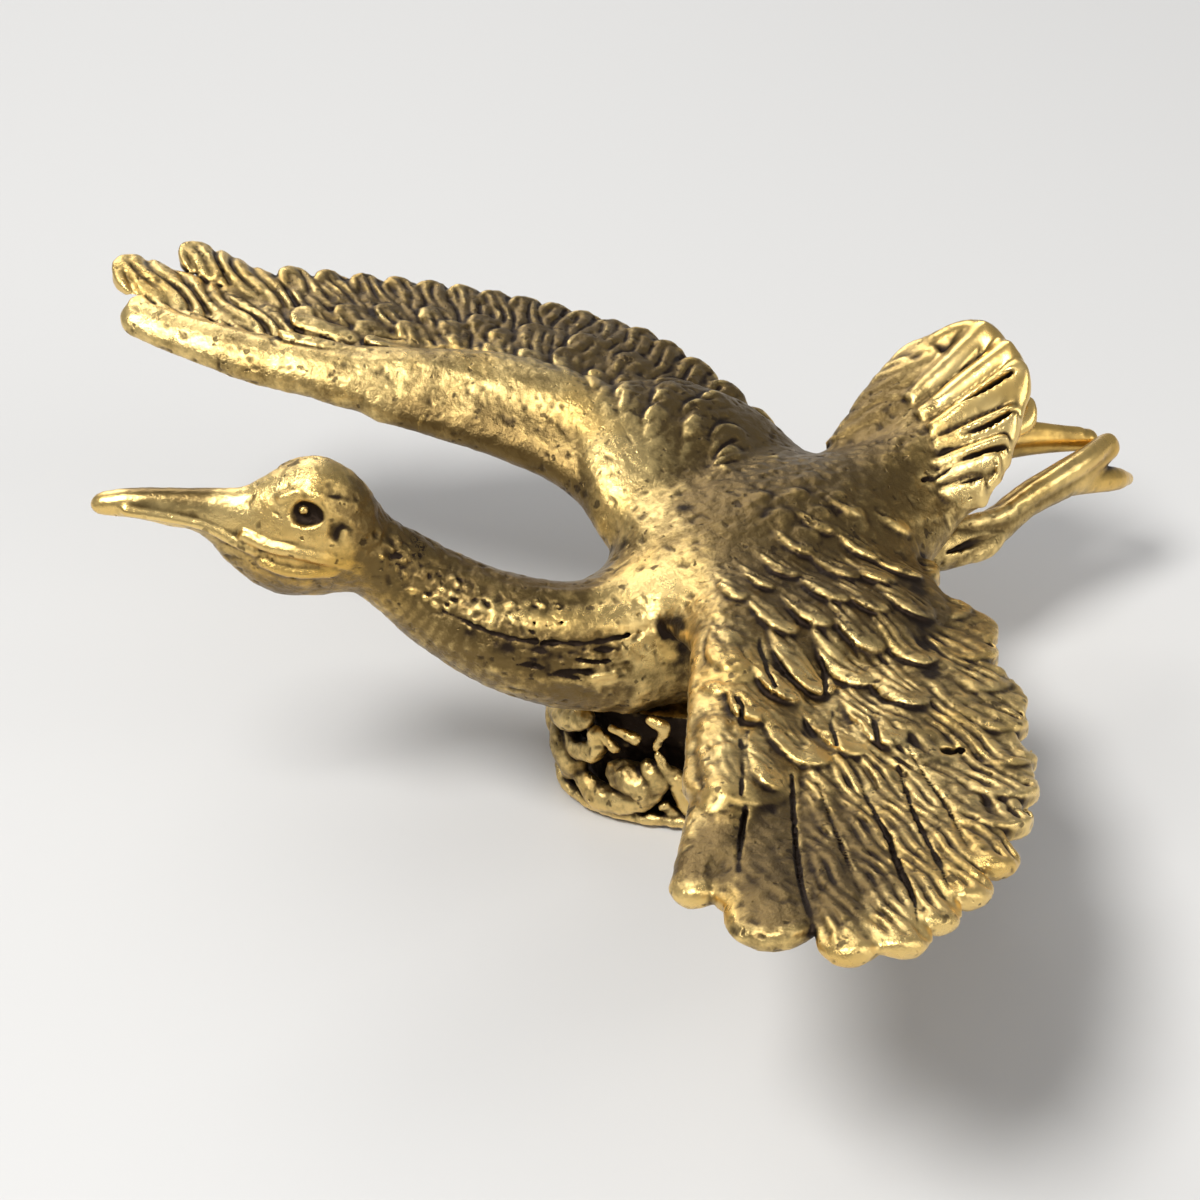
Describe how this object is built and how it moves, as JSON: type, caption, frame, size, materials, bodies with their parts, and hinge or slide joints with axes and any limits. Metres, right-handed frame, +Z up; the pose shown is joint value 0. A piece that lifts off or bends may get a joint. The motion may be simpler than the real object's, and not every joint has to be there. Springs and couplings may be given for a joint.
{
  "type": "crane figurine",
  "caption": "Small solid brass crane in flight, wings raised and spread, neck stretched forward, standing on a low cloud-scroll boss.",
  "frame": {"origin": "centre of the flat underside of the cloud boss, where the figurine stands", "axes": "+Z up, -X the way the crane flies, -Y to its left wing, +Y to its right wing"},
  "size_m": [0.0546, 0.0661, 0.0222],
  "materials": {
    "cast_brass": "antique cast brass, bright on the ridges and dark in the grooves",
    "boss_brass": "antique cast brass with near-black recesses"
  },
  "bodies": {
    "root": {"cloud_base": "boss_brass", "body": "cast_brass", "neck_and_head": "cast_brass", "left_wing": "cast_brass", "right_wing": "cast_brass", "tail_fan": "cast_brass", "left_leg": "cast_brass", "right_leg": "cast_brass"}
  },
  "joints": []
}
